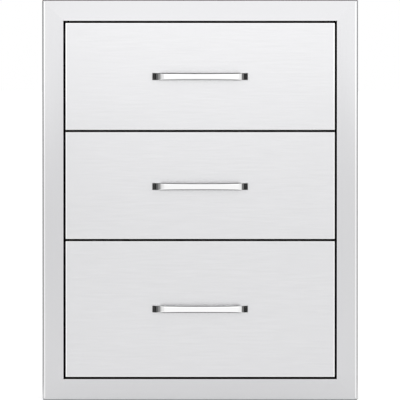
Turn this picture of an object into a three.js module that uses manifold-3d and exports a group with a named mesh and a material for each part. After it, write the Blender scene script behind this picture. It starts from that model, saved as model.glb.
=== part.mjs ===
// Flush-mounted unit of three drawers for an outdoor kitchen island, in folded stainless steel sheet.
// Millimetres, +Z up, +X to the right, with the front towards -Y. The origin is the middle of the front
// edge of the cut-out's sill: z = 0 is the underside of the cabinet, and y = 0 the island's face, which the
// flange seats on.
import * as THREE from 'three';
import { mergeVertices } from 'three/addons/utils/BufferGeometryUtils.js';
import Module from 'manifold-3d';

const wasm = await Module();
wasm.setup();

// Face frame: one folded and welded ring round the drawers
const faceWidth = 457;
const faceHeight = 580;
const flangeWidth = 30.5;
const flangeDepth = 14;
const hemWidth = 12;
const neckDepth = 16;
const frameSheet = 1.1;
const frameBend = 0.5;
const reliefRadius = 1.1;

// Cabinet: two sides, a top, a bottom and a back, riveted at their flanges
const cabinetDepth = 540;
const cabinetSheet = 1;
const cabinetBend = 0.8;
const panelTuck = 7;
const joinFlange = 14;
const cornerGap = 1.5;

// Screw holes through the neck and the cabinet's sides, for fixing the unit in its cut-out
const mountHoleRadius = 2.6;
const mountHoleShares = [0.12, 0.5, 0.88];

// Drawer fronts: a folded pan closed behind by a liner
const revealGap = 3;
const upperFrontHeight = 155;
const middleFrontHeight = 155;
const frontDepth = 17;
const frontSheet = 1;
const frontBend = 0.4;
const frontLip = 9;
const linerInset = 2;
const linerSheet = 0.8;

// Drawer trays: a floor and four walls with a folded safety hem along the top
const traySheet = 0.9;
const trayBend = 1.6;
const trayHem = 9;
const hemGap = 0.4;
const trayFloorRise = 14;
const trayTopDrop = 28;
const trayRearGap = 24;

// Slides: three nested rails with two rows of balls between each pair
const slideDepth = 12.7;
const slideFrontGap = 2;
const slideRearGap = 21;
const drawerTravel = 500;
const outerRailHeight = 45.4;
const outerRailSheet = 1.2;
const outerRailReach = 10.2;
const outerRailLip = 3.1;
const middleRailSheet = 1;
const middleRailLip = 2.5;
const innerRailSheet = 1;
const innerRailReach = 8.1;
const innerRailLip = 1.9;
const railBend = 0.6;
const railSideGap = 1.2;
const ballRadius = 1.4;
const cageSheet = 0.6;
const cageBend = 0.4;
const cageMargin = 2;
const ballsPerRow = 5;
const bumperLength = 8;

// Handles: an arched bar on two feet, held by screws from inside the drawer
const handleSpan = 128;
const handleFoot = 11.4;
const handleRise = 30;
const handleFootHeight = 10.8;
const handleWaistHeight = 10.3;
const handleBar = 6.5;
const middleHandleDrop = 1;
const lowerHandleLift = 0.6;
const screwRadius = 1.6;
const screwHoleRadius = 1.9;
const screwHeadRadius = 4;
const screwHeadHeight = 2.6;
const screwGrip = 9;
const screwTipGap = 2;

// Pieces that touch keep this much between them, and cuts run this far past what they cut
const seatGap = 0.3;
const overrun = 2;

// How finely round things are faceted
const bendSteps = 2;
const holeSides = 12;
const handleSteps = 36;
const weldTolerance = 1e-3;
const snap = 1e4;

// Places that follow from the sizes above
const openingWidth = faceWidth - 2 * flangeWidth;
const openingHeight = faceHeight - 2 * flangeWidth;
const openingBottom = cabinetSheet + seatGap + frameSheet;
const openingMiddle = openingBottom + openingHeight / 2;
const cabinetHeight = openingHeight + 2 * openingBottom;
const sideInner = openingWidth / 2 + frameSheet + seatGap;
const sideOuter = sideInner + cabinetSheet;
const rearFlangeMiddle = cabinetDepth - 1.5 * cabinetSheet - seatGap;
const frontFace = -flangeDepth;
const frontWidth = openingWidth - 2 * revealGap;
const linerRear = frontFace + frontDepth + seatGap + linerSheet;
const trayFront = linerRear + seatGap;
const trayRear = cabinetDepth - cabinetSheet - trayRearGap;
const trayWidth = 2 * (sideInner - slideDepth) - 4 * seatGap;
const slideFront = neckDepth + slideFrontGap;
const slideLength = cabinetDepth - cabinetSheet - slideRearGap - slideFront;
const memberLength = slideLength - bumperLength - seatGap;
const lowerFrontHeight = openingHeight - 4 * revealGap - upperFrontHeight - middleFrontHeight;
const handleLength = handleSpan + handleFoot;

// Finishes
function finish(color, roughness, metalness) {
  return new THREE.MeshStandardMaterial({ color, roughness, metalness });
}
const brushedSteel = finish(0xdcdcde, 0.34, 1);
const sheetSteel = finish(0xc4c5c7, 0.42, 1);
const traySteel = finish(0xcfd0d2, 0.38, 1);
const chrome = finish(0xf2f2f4, 0.06, 1);
const zincSteel = finish(0xb9bdc2, 0.3, 1);
const cageSteel = finish(0x9fa3a8, 0.35, 1);
const screwSteel = finish(0xc8c9cc, 0.28, 1);
const bumperRubber = finish(0x17181a, 0.8, 0);

// Solids: three.js geometry in, three.js geometry out

// A closed geometry as a solid that can be cut and joined. Its corners are rounded to a tenth of a micron,
// so that faces meant to lie in one plane do.
function solid(geometry) {
  const bare = new THREE.BufferGeometry();
  const loose = geometry.index ? geometry.toNonIndexed() : geometry;
  bare.setAttribute('position', loose.getAttribute('position').clone());
  const places = bare.attributes.position.array;
  places.forEach((value, i) => {
    places[i] = Math.round(value * snap) / snap;
  });
  const merged = mergeVertices(bare, weldTolerance);
  return new wasm.Manifold(new wasm.Mesh({
    numProp: 3,
    vertProperties: merged.attributes.position.array,
    triVerts: new Uint32Array(merged.index.array),
  }));
}

function geometryOf(made) {
  const mesh = made.getMesh();
  const geometry = new THREE.BufferGeometry();
  geometry.setAttribute('position', new THREE.BufferAttribute(new Float32Array(mesh.vertProperties), 3));
  geometry.setIndex(new THREE.BufferAttribute(new Uint32Array(mesh.triVerts), 1));
  const flat = geometry.toNonIndexed();
  flat.computeVertexNormals();
  return flat;
}

function piece(name, made, material) {
  const mesh = new THREE.Mesh(geometryOf(made), material);
  mesh.name = name;
  return mesh;
}

function block([x0, x1], [y0, y1], [z0, z1]) {
  const box = new THREE.BoxGeometry(x1 - x0, y1 - y0, z1 - z0);
  return solid(box.translate((x0 + x1) / 2, (y0 + y1) / 2, (z0 + z1) / 2));
}

const axisX = new THREE.Vector3(1, 0, 0);
const axisY = new THREE.Vector3(0, 1, 0);
const axisZ = new THREE.Vector3(0, 0, 1);

// Where the outline's two axes and its extrusion point: outlines are drawn in x and y for a length along z,
// in y and z for one along x, and in x and z for one along y.
const lengthways = {
  x: new THREE.Matrix4().makeBasis(axisY, axisZ, axisX),
  y: new THREE.Matrix4().makeBasis(axisX, axisZ, axisY.clone().negate()),
  z: new THREE.Matrix4().makeBasis(axisX, axisY, axisZ),
};

function prism(axis, outline, from, to) {
  const long = new THREE.ExtrudeGeometry(new THREE.Shape(outline), {
    depth: to - from,
    bevelEnabled: false,
    curveSegments: holeSides,
  });
  const start = axis === 'y' ? -to : from;
  return solid(long.translate(0, 0, start).applyMatrix4(lengthways[axis]));
}

function bar(axis, [across, up], radius, from, to) {
  const circle = new THREE.Path().absarc(across, up, radius, 0, 2 * Math.PI);
  return prism(axis, circle.getPoints(holeSides).slice(0, -1), from, to);
}

// Folded sheet

// The outline of a folded sheet whose middle runs along the path. Each corner is a round bend of the given
// inside radius, or of its own where the path gives one as a third number.
function foldedSection(path, sheet, bend) {
  const corners = path.map(([u, v]) => new THREE.Vector2(u, v));
  const onePlus = [];
  const otherSide = [];
  corners.forEach((corner, i) => {
    const before = i > 0 ? corner.clone().sub(corners[i - 1]).normalize() : null;
    const after = i + 1 < corners.length ? corners[i + 1].clone().sub(corner).normalize() : null;
    if (!before || !after) {
      const along = before || after;
      const normal = new THREE.Vector2(-along.y, along.x).multiplyScalar(sheet / 2);
      onePlus.push(corner.clone().add(normal));
      otherSide.push(corner.clone().sub(normal));
      return;
    }
    const turn = Math.atan2(before.cross(after), before.dot(after));
    const towards = Math.sign(turn);
    const radius = (path[i][2] ?? bend) + sheet / 2;
    const normal = new THREE.Vector2(-before.y, before.x).multiplyScalar(towards);
    const centre = corner.clone()
      .addScaledVector(before, -radius * Math.tan(Math.abs(turn) / 2))
      .addScaledVector(normal, radius);
    for (let step = 0; step <= bendSteps; step += 1) {
      const out = normal.clone().negate().rotateAround(new THREE.Vector2(), (turn * step) / bendSteps);
      onePlus.push(centre.clone().addScaledVector(out, radius - (towards * sheet) / 2));
      otherSide.push(centre.clone().addScaledVector(out, radius + (towards * sheet) / 2));
    }
  });
  const outline = [...onePlus, ...otherSide.reverse()];
  return THREE.ShapeUtils.isClockWise(outline) ? outline.reverse() : outline;
}

// A ring with mitred corners: the section runs round a rectangle of that width in x and height in z. In the
// section, the first number is the distance outside the rectangle and the second is y.
function mitredRing(section, width, height) {
  const short = Math.min(width, height);
  const profile = [...section, section[0]].map(
    (point) => new THREE.Vector2((short / 2 + point.x) * Math.SQRT2, point.y),
  );
  const ring = new THREE.LatheGeometry(profile, 4, Math.PI / 4);
  const places = ring.attributes.position;
  for (let i = 0; i < places.count; i += 1) {
    places.setX(i, places.getX(i) + (Math.sign(places.getX(i)) * (width - short)) / 2);
    places.setZ(i, places.getZ(i) + (Math.sign(places.getZ(i)) * (height - short)) / 2);
  }
  const made = solid(ring);
  return made.volume() < 0 ? solid(turnedInsideOut(ring)) : made;
}

function turnedInsideOut(geometry) {
  const turned = geometry.clone();
  const order = turned.index.array;
  for (let i = 0; i < order.length; i += 3) {
    [order[i + 1], order[i + 2]] = [order[i + 2], order[i + 1]];
  }
  return turned;
}

// A shallow or deep tray: a flat plate whose four edges are folded along the path. The path starts in the
// plate, and its first number is measured from the outside of the tray, inwards being negative.
function foldedPan(width, height, path, sheet, bend) {
  const [plateEdge, plateMiddle] = path[0];
  const ring = mitredRing(foldedSection(path, sheet, bend), width, height);
  const reachX = width / 2 + plateEdge / 2;
  const reachZ = height / 2 + plateEdge / 2;
  const plate = block(
    [-reachX, reachX],
    [plateMiddle - sheet / 2, plateMiddle + sheet / 2],
    [-reachZ, reachZ],
  );
  return ring.add(plate);
}

// How far inside its edge a folded plate is still flat, with room for its ring to overlap the plate
function flatStart(sheet, bend) {
  return -4 * (sheet + bend);
}

// Face frame
function faceFrame() {
  const middle = frameSheet / 2;
  const path = [
    [middle, neckDepth],
    [middle, frontFace + middle],
    [flangeWidth - middle, frontFace + middle],
    [flangeWidth - middle, -middle],
    [flangeWidth - hemWidth, -middle],
  ];
  let frame = mitredRing(foldedSection(path, frameSheet, frameBend), openingWidth, openingHeight);
  const reliefRear = frontFace + frameSheet + 2 * reliefRadius;
  for (const x of [-openingWidth / 2, openingWidth / 2]) {
    for (const z of [-openingHeight / 2, openingHeight / 2]) {
      frame = frame.subtract(bar('y', [x, z], reliefRadius, frontFace - overrun, reliefRear));
    }
  }
  for (const hole of mountHoles(-openingMiddle)) {
    frame = frame.subtract(hole);
  }
  const mesh = piece('face_frame', frame, brushedSteel);
  mesh.position.z = openingMiddle;
  return mesh;
}

// The fixing holes through both sides, raised by lift
function mountHoles(lift) {
  const reach = sideOuter + overrun;
  return mountHoleShares.map((share) => {
    const up = openingBottom + share * openingHeight + lift;
    return bar('x', [neckDepth / 2, up], mountHoleRadius, -reach, reach);
  });
}

// Cabinet
function sidePanel(name, side) {
  const middle = sideInner + cabinetSheet / 2;
  const flangeEnd = sideInner - joinFlange;
  const path = [
    [middle, -panelTuck],
    [middle, rearFlangeMiddle],
    [flangeEnd, rearFlangeMiddle],
  ];
  let panel = prism('z', foldedSection(path, cabinetSheet, cabinetBend), 0, cabinetHeight);
  const notch = joinFlange + cornerGap;
  const acrossFlange = [flangeEnd - overrun, sideInner];
  const throughFlange = [rearFlangeMiddle - cabinetBend - cabinetSheet, cabinetDepth];
  for (const ends of [[-overrun, notch], [cabinetHeight - notch, cabinetHeight + overrun]]) {
    panel = panel.subtract(block(acrossFlange, throughFlange, ends));
  }
  for (const hole of mountHoles(0)) {
    panel = panel.subtract(hole);
  }
  const mesh = piece(name, panel, sheetSteel);
  mesh.scale.x = side;
  return mesh;
}

// The bottom panel, which is also the top one turned over: flanges at both sides and at the rear stand
// inside the cabinet, and a tongue reaches forward under the face frame's neck.
function floorPanel(name) {
  const middle = cabinetSheet / 2;
  const flangeMiddle = sideInner - seatGap - middle;
  const across = [
    [-flangeMiddle, joinFlange],
    [-flangeMiddle, middle],
    [flangeMiddle, middle],
    [flangeMiddle, joinFlange],
  ];
  const along = [
    [-panelTuck, middle],
    [rearFlangeMiddle, middle],
    [rearFlangeMiddle, joinFlange],
  ];
  const sideFlangeEnd = rearFlangeMiddle - cabinetBend - cabinetSheet - cornerGap;
  const reach = flangeMiddle - cabinetBend - cabinetSheet - cornerGap;
  const sides = prism('y', foldedSection(across, cabinetSheet, cabinetBend), slideFront, sideFlangeEnd);
  const tongue = prism('x', foldedSection(along, cabinetSheet, cabinetBend), -reach, reach);
  return piece(name, sides.add(tongue), sheetSteel);
}

function backPanel() {
  const through = [cabinetDepth - cabinetSheet, cabinetDepth];
  const plate = block([-sideOuter, sideOuter], through, [0, cabinetHeight]);
  return piece('back_panel', plate, sheetSteel);
}

function cabinet() {
  const group = new THREE.Group();
  const top = floorPanel('top_panel');
  top.scale.z = -1;
  top.position.z = cabinetHeight;
  group.add(
    faceFrame(),
    sidePanel('side_panel_left', -1),
    sidePanel('side_panel_right', 1),
    floorPanel('bottom_panel'),
    top,
    backPanel(),
  );
  return group;
}

// Slides. In a slide's own frame x runs from the cabinet's side to the drawer, y from its front end to the
// rear, and z from its middle. Each rail is a channel, nested in the one outside it.
const outerHalf = outerRailHeight / 2;
const raceGap = 2 * (ballRadius + seatGap);
const middleHalf = outerHalf - outerRailSheet - raceGap;
const innerHalf = middleHalf - middleRailSheet - raceGap;
const middleWebStart = outerRailSheet + railSideGap;
const outerRaceMiddle = middleHalf + raceGap / 2;
const innerRaceMiddle = innerHalf + raceGap / 2;
const middleReach = slideDepth - outerRailSheet - railSideGap / 2;
const innerReachStart = slideDepth - innerRailReach;

// A channel with lips along its flanges, symmetrical about z = 0. Its web stands at x = web, and its
// flanges' middles lie at z = half, reach to x = reach and turn by lip, inwards where it is negative.
function channel(web, reach, half, lip, sheet, from, to) {
  const side = [[reach, half + lip], [reach, half], [web, half]];
  const mirrored = side.map(([x, z]) => [x, -z]).reverse();
  return prism('y', foldedSection([...side, ...mirrored], sheet, railBend), from, to);
}

function outerRail() {
  const middle = outerRailSheet / 2;
  const lip = middle - outerRailLip;
  return channel(middle, outerRailReach - middle, outerHalf - middle, lip, outerRailSheet, 0, slideLength);
}

function middleRail() {
  const middle = middleRailSheet / 2;
  const web = middleWebStart + middle;
  const lip = middle - middleRailLip;
  return channel(web, middleReach - middle, middleHalf - middle, lip, middleRailSheet, 0, memberLength);
}

function innerRail() {
  const middle = innerRailSheet / 2;
  const reach = innerReachStart + middle;
  const lip = innerRailLip - middle;
  return channel(slideDepth - middle, reach, innerHalf - middle, lip, innerRailSheet, 0, memberLength);
}

// A retainer strip with a row of balls along each of its arms, which run in the race at z = race
function ballCage(webStart, reach, race) {
  const middle = webStart + cageSheet / 2;
  const path = [[reach, race], [middle, race], [middle, -race], [reach, -race]];
  const front = drawerTravel / 4 + cageMargin;
  const rear = memberLength - drawerTravel / 4 - cageMargin;
  let cage = prism('y', foldedSection(path, cageSheet, cageBend), front, rear);
  const ballX = (webStart + reach) / 2 + cageSheet;
  const pitch = (rear - front) / ballsPerRow;
  for (let i = 0; i < ballsPerRow; i += 1) {
    for (const z of [-race, race]) {
      const ball = new THREE.OctahedronGeometry(ballRadius);
      cage = cage.add(solid(ball.translate(ballX, front + pitch * (i + 0.5), z)));
    }
  }
  return cage;
}

function outerCage() {
  return ballCage(outerRailSheet + seatGap, outerRailReach - outerRailSheet - railBend, outerRaceMiddle);
}

function innerCage() {
  const webStart = middleWebStart + middleRailSheet + seatGap;
  return ballCage(webStart, middleReach - middleRailSheet - railBend, innerRaceMiddle);
}

// The rubber stop in the rear end of the outer rail, which the other rails close against
function slideBumper() {
  const across = [outerRailSheet + seatGap, outerRailReach];
  const lipInner = outerHalf - outerRailLip - seatGap;
  const body = block(across, [memberLength + seatGap, slideLength], [-lipInner, lipInner]);
  const stem = block(
    [outerRailSheet + seatGap, outerRailReach - outerRailSheet - railBend],
    [slideLength - bumperLength / 2, slideLength],
    [-outerHalf + outerRailSheet + seatGap, outerHalf - outerRailSheet - seatGap],
  );
  return body.add(stem);
}

function slide(drawerName, sideName, side) {
  const group = new THREE.Group();
  group.position.x = side * (sideInner - seatGap);
  group.scale.x = -side;
  group.add(
    piece(`${drawerName}_slide_outer_rail_${sideName}`, outerRail(), zincSteel),
    piece(`${drawerName}_slide_middle_rail_${sideName}`, middleRail(), zincSteel),
    piece(`${drawerName}_slide_inner_rail_${sideName}`, innerRail(), zincSteel),
    piece(`${drawerName}_outer_ball_cage_${sideName}`, outerCage(), cageSteel),
    piece(`${drawerName}_inner_ball_cage_${sideName}`, innerCage(), cageSteel),
    piece(`${drawerName}_slide_bumper_${sideName}`, slideBumper(), bumperRubber),
  );
  return group;
}

// Handles. In a handle's own frame y = 0 is the face that its feet stand on, and the bar arches towards -y.
// Both edges of one half are given from foot to crown: the outer one in shares of half the handle's length
// and of its rise, the inner one in shares of half the clear length between the feet and of the clear rise.
const outerShares = [
  [1, 0], [1, 0.5], [0.99, 0.545], [0.94, 0.67], [0.89, 0.79],
  [0.835, 0.87], [0.64, 0.93], [0.4, 0.972], [0.2, 0.993], [0, 1],
];
const innerShares = [
  [1, 0], [1, 0.4], [0.995, 0.5], [0.97, 0.7], [0.93, 0.84],
  [0.87, 0.91], [0.68, 0.955], [0.43, 0.98], [0.21, 0.995], [0, 1],
];

// A smooth line through the shares of one half and their mirror image
function archLine(shares, length, rise) {
  const half = shares.map(([x, y]) => new THREE.Vector2((x * length) / 2, -y * rise));
  const mirrored = half.slice(0, -1).map((point) => new THREE.Vector2(-point.x, point.y)).reverse();
  return new THREE.SplineCurve([...half, ...mirrored]).getPoints(handleSteps);
}

function handle() {
  const outer = archLine(outerShares, handleLength, handleRise);
  const inner = archLine(innerShares, handleLength - 2 * handleFoot, handleRise - handleBar);
  const side = [...outer, ...inner.reverse()];
  const outline = THREE.ShapeUtils.isClockWise(side) ? side.reverse() : side;
  let made = prism('z', outline, -handleFootHeight / 2, handleFootHeight / 2);
  made = made.intersect(waistBlank());
  for (const x of [-handleSpan / 2, handleSpan / 2]) {
    made = made.subtract(bar('y', [x, 0], screwHoleRadius, -(screwGrip + screwTipGap), overrun));
  }
  return made;
}

// The front view of a handle as a long blank: full height at the feet, drawn in a little at the middle
function waistBlank() {
  const end = handleLength / 2 + overrun;
  const waistShares = [1, 0.55, 0.2];
  const bite = (handleFootHeight - handleWaistHeight) / 2;
  const edge = waistShares.map((share) => new THREE.Vector2(
    share * end,
    handleFootHeight / 2 - bite * (1 - share * share),
  ));
  const upper = [...edge, ...edge.map((point) => new THREE.Vector2(-point.x, point.y)).reverse()];
  const lower = upper.map((point) => new THREE.Vector2(point.x, -point.y)).reverse();
  const outline = [...upper, ...lower];
  const ordered = THREE.ShapeUtils.isClockWise(outline) ? outline.reverse() : outline;
  return prism('y', ordered, -handleRise - overrun, overrun);
}

// A pan-head screw lying along y, its head's underside at y = 0 and its shank running towards -y
function handleScrew() {
  const shank = trayFront + traySheet + seatGap - (frontFace - seatGap - screwGrip);
  const profile = [
    new THREE.Vector2(0, -shank),
    new THREE.Vector2(screwRadius, -shank),
    new THREE.Vector2(screwRadius, 0),
    new THREE.Vector2(screwHeadRadius, 0),
    new THREE.Vector2(screwHeadRadius, screwHeadHeight / 2),
    new THREE.Vector2((2 / 3) * screwHeadRadius, screwHeadHeight),
    new THREE.Vector2(0, screwHeadHeight),
  ];
  return solid(new THREE.LatheGeometry(profile, holeSides));
}

// Drawers. A drawer's group stands at the bottom of its front.
function drawerFront(height, cutHoles) {
  const middle = frontSheet / 2;
  const rear = frontFace + frontDepth - middle;
  const path = [
    [flatStart(frontSheet, frontBend), frontFace + middle],
    [-middle, frontFace + middle],
    [-middle, rear],
    [-frontLip, rear],
  ];
  return cutHoles(foldedPan(frontWidth, height, path, frontSheet, frontBend));
}

function drawerLiner(height, cutHoles) {
  const acrossHalf = frontWidth / 2 - linerInset;
  const upHalf = height / 2 - linerInset;
  return cutHoles(block([-acrossHalf, acrossHalf], [linerRear - linerSheet, linerRear], [-upHalf, upHalf]));
}

// The tray is folded lying on its floor, then set down with its floor level and its front wall at trayFront
function drawerTray(height) {
  const middle = traySheet / 2;
  const depth = trayRear - trayFront;
  const hemInner = -middle - traySheet - hemGap;
  const path = [
    [flatStart(traySheet, trayBend), middle],
    [-middle, middle],
    [-middle, height - middle, hemGap / 2],
    [hemInner, height - middle, hemGap / 2],
    [hemInner, height - trayHem],
  ];
  const lying = geometryOf(foldedPan(trayWidth, depth, path, traySheet, trayBend));
  return solid(lying.applyMatrix4(lengthways.y).translate(0, trayFront + depth / 2, 0));
}

function drawer({ name, height, handleDrop }) {
  const group = new THREE.Group();
  const centre = height / 2;
  const handleUp = centre - handleDrop;
  const screwPlaces = [-handleSpan / 2, handleSpan / 2];
  const throughWalls = [frontFace - overrun, trayFront + 2 * overrun];
  const cutHoles = (made, up) => screwPlaces.reduce(
    (cut, x) => cut.subtract(bar('y', [x, up], screwHoleRadius, ...throughWalls)),
    made,
  );
  const trayHeight = height - trayFloorRise - trayTopDrop;

  const holed = (made) => cutHoles(made, -handleDrop);
  const front = piece(`${name}_drawer_front`, drawerFront(height, holed), brushedSteel);
  const liner = piece(`${name}_drawer_liner`, drawerLiner(height, holed), traySteel);
  front.position.z = centre;
  liner.position.z = centre;

  const box = cutHoles(drawerTray(trayHeight), handleUp - trayFloorRise);
  const tray = piece(`${name}_drawer_tray`, box, traySteel);
  tray.position.z = trayFloorRise;

  const grip = piece(`${name}_handle`, handle(), chrome);
  grip.position.set(0, frontFace - seatGap, handleUp);
  group.add(front, liner, tray, grip);

  const sides = [['left', -1], ['right', 1]];
  for (const [sideName, side] of sides) {
    const screw = piece(`${name}_handle_screw_${sideName}`, handleScrew(), screwSteel);
    screw.position.set((side * handleSpan) / 2, trayFront + traySheet + seatGap, handleUp);
    const rails = slide(name, sideName, side);
    rails.position.y = slideFront;
    rails.position.z = trayFloorRise + trayHeight / 2;
    group.add(screw, rails);
  }
  return group;
}

// The unit, its drawers stacked from the bottom of the opening up
const unit = new THREE.Group();
unit.add(cabinet());

const drawers = [
  { name: 'lower', height: lowerFrontHeight, handleDrop: -lowerHandleLift },
  { name: 'middle', height: middleFrontHeight, handleDrop: middleHandleDrop },
  { name: 'upper', height: upperFrontHeight, handleDrop: 0 },
];
let stack = openingBottom + revealGap;
for (const made of drawers) {
  const group = drawer(made);
  group.position.z = stack;
  unit.add(group);
  stack += made.height + revealGap;
}

export default unit;
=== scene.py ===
"""The looks of a three-drawer unit for an outdoor kitchen island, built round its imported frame.

Metres, +Z up, +X to the right as seen from the front, which faces -Y. Every place comes from the
frame's own pieces, and each new piece stands for one of them or is fastened to one.
"""

import math
from typing import NamedTuple

import bmesh
import bpy
from mathutils import Matrix, Vector

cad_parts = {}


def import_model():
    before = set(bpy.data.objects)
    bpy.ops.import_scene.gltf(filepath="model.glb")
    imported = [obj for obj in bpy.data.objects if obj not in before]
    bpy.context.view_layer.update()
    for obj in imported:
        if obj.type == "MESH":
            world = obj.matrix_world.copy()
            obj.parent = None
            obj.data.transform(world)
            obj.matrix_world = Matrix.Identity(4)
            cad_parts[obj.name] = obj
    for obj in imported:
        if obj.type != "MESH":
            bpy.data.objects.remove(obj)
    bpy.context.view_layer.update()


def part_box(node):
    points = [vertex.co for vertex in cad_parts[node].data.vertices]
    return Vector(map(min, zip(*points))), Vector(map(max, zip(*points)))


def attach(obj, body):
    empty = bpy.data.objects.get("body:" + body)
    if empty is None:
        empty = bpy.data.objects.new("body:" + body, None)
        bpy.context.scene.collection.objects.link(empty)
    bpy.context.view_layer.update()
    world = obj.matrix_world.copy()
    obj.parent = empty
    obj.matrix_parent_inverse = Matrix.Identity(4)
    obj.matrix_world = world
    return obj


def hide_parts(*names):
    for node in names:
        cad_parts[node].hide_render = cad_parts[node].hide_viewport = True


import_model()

MM = 0.001
QUARTER = math.pi / 2
SIDES = {"left": -1, "right": 1}
DRAWERS = ("lower", "middle", "upper")

# Face frame
FLANGE_WIDTH = 30.5 * MM
HEM_WIDTH = 12 * MM
FRAME_SHEET = 1.1 * MM
FRAME_BEND = 0.8 * MM
FRAME_EDGE = 0.3 * MM
RELIEF_RADIUS = 1.1 * MM
RELIEF_DEPTH = 3.3 * MM
MOUNT_HOLE_RADIUS = 2.6 * MM
MOUNT_HOLE_SHARES = (0.12, 0.5, 0.88)

# Cabinet
CABINET_SHEET = 1 * MM
CABINET_BEND = 0.8 * MM
JOIN_FLANGE = 14 * MM
JOIN_NOTCH = 15.5 * MM
CORNER_GAP = 1.5 * MM

# Drawers
FRONT_SHEET = 1 * MM
FRONT_EDGE = 0.5 * MM
FRONT_LIP = 9 * MM
TRAY_SHEET = 0.9 * MM
TRAY_BEND = 1.6 * MM
TRAY_HEM = 9 * MM
HEM_GAP = 0.4 * MM

# Handles: both edges of one half in plan, from foot to crown. The outer one is in shares of half the length
# and of the rise, the inner one in shares of half the clear length between the feet and of the clear rise.
OUTER_SHARES = (
    (1, 0), (1, 0.5), (0.99, 0.545), (0.94, 0.67), (0.89, 0.79),
    (0.835, 0.87), (0.64, 0.93), (0.4, 0.972), (0.2, 0.993), (0, 1),
)
INNER_SHARES = (
    (1, 0), (1, 0.4), (0.995, 0.5), (0.97, 0.7), (0.93, 0.84),
    (0.87, 0.91), (0.68, 0.955), (0.43, 0.98), (0.21, 0.995), (0, 1),
)
ARCH_STEPS = 7
HANDLE_FOOT = 11.4 * MM
HANDLE_BAR = 6.5 * MM
HANDLE_EDGE = 2.2 * MM
HANDLE_EDGE_STEPS = 5
FOOT_EDGE_SHARE = 0.4
FOOT_START_SHARE = 0.78
FOOT_END_SHARE = 0.9
WAIST_SHARE = 0.08

# Slides, measured in their own frame: x from the cabinet's side, y from the front end, z from the middle
OUTER_SHEET = 1.2 * MM
MEMBER_SHEET = 1 * MM
RAIL_BEND = 0.6 * MM
RAIL_LIPS = {"outer": 3.1 * MM, "middle": 2.5 * MM, "inner": 1.9 * MM}
RAIL_HOLE_RADIUS = 2.2 * MM
RAIL_HOLE_SHARES = (0.06, 0.3, 0.54, 0.78, 0.95)
RAIL_HOLE_STEPS = 16
CAGE_SHEET = 0.6 * MM
CAGE_BEND = 0.4 * MM
BALL_RADIUS = 1.4 * MM
BALL_PITCH = 4.7 * MM
BALL_SEGMENTS = 8
BALL_RINGS = 5
BUMPER_SETBACK = 1.2 * MM
BUMPER_CORNER = 0.6 * MM
STEM_SETBACK = 2.1 * MM
STEM_CORNER = 0.5 * MM
RIB_SHARES = (-0.62, 0, 0.62)
RIB_HALF = 1.6 * MM
RIB_INSET = 1 * MM
RIB_DEPTH = 3 * MM
RIB_CORNER = 0.8 * MM
LEVER_START_SHARE = 0.36
LEVER_GAP = 0.4 * MM
LEVER_THICKNESS = 2.2 * MM
LEVER_CORNER = 0.45 * MM
LEVER_OUTLINE = (  # mm along the rail and up
    (0, -3.2), (14, -4.4), (30, -3), (52, -2.2), (58, -5.2), (66, -6.6),
    (70, -5), (62, -1.6), (56, 1.8), (40, 2.6), (22, 3.4), (0, 4.2),
)

# Fasteners
RIVET_RADIUS = 3.2 * MM
RIVET_HEIGHT = 1 * MM
RIVET_DOME = ((0, 0.62), (0.28, 0.62), (0.36, 0.95), (0.62, 0.84), (0.88, 0.5), (1, 0.12), (1, 0))
RIVET_PIN_SHARE = 0.5
RIVET_STEPS = 16
RIVET_PITCH = 80 * MM
RIVET_ROW = 0.55 * JOIN_FLANGE
RIVET_CLEARANCE = 3 * JOIN_FLANGE
SCREW_HEAD_RADIUS = 4 * MM
SCREW_HEAD_HEIGHT = 2.6 * MM
SCREW_RIM_SHARE = 0.3
SCREW_DOME_STEPS = 6
SCREW_SHANK_RADIUS = 1.6 * MM
RECESS_ARM = 0.55 * SCREW_HEAD_RADIUS
RECESS_HALF = 0.13 * SCREW_HEAD_RADIUS
RECESS_TOP = 1.5 * SCREW_HEAD_HEIGHT
RECESS_LENGTH = 1.1 * SCREW_HEAD_HEIGHT
RECESS_TAPER = 0.45
RAIL_SCREW_LENGTH = 4.5 * MM
RAIL_SCREW_SHARES = (0.08, 0.5, 0.9)
RAIL_SCREW_SCALE = (0.8, 0.8, 0.6, 1)

# Finishing
FOLD_STEPS = 4
EDGE_ROUND = 0.12 * MM
EDGE_STEPS = 2
EDGE_ANGLE = math.radians(50)
ROUND_STEPS = 24
THIN = 0.01 * MM


# Shader expressions

MIX_SOCKETS = (0, 6, 7)  # the share and the two colours of a Mix node
MIX_RESULT = 2


class Value:
    """A socket of a node tree. Operators on it add the Math nodes that they need."""

    def __init__(self, nodes, socket):
        self.nodes = nodes
        self.socket = socket

    def maths(self, operation, *terms):
        return self.nodes.add("ShaderNodeMath", {"operation": operation}, dict(enumerate(terms)))

    def __add__(self, other):
        return self.maths("ADD", self, other)

    def __sub__(self, other):
        return self.maths("SUBTRACT", self, other)

    def __rsub__(self, other):
        return self.maths("SUBTRACT", other, self)

    def __mul__(self, other):
        return self.maths("MULTIPLY", self, other)

    def __truediv__(self, other):
        return self.maths("DIVIDE", self, other)

    def __abs__(self):
        return self.maths("ABSOLUTE", self)

    def __gt__(self, other):
        return self.maths("GREATER_THAN", self, other)

    def largest(self, other):
        return self.maths("MAXIMUM", self, other)

    def root(self):
        return self.maths("SQRT", self)

    __radd__ = __add__
    __rmul__ = __mul__


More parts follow.
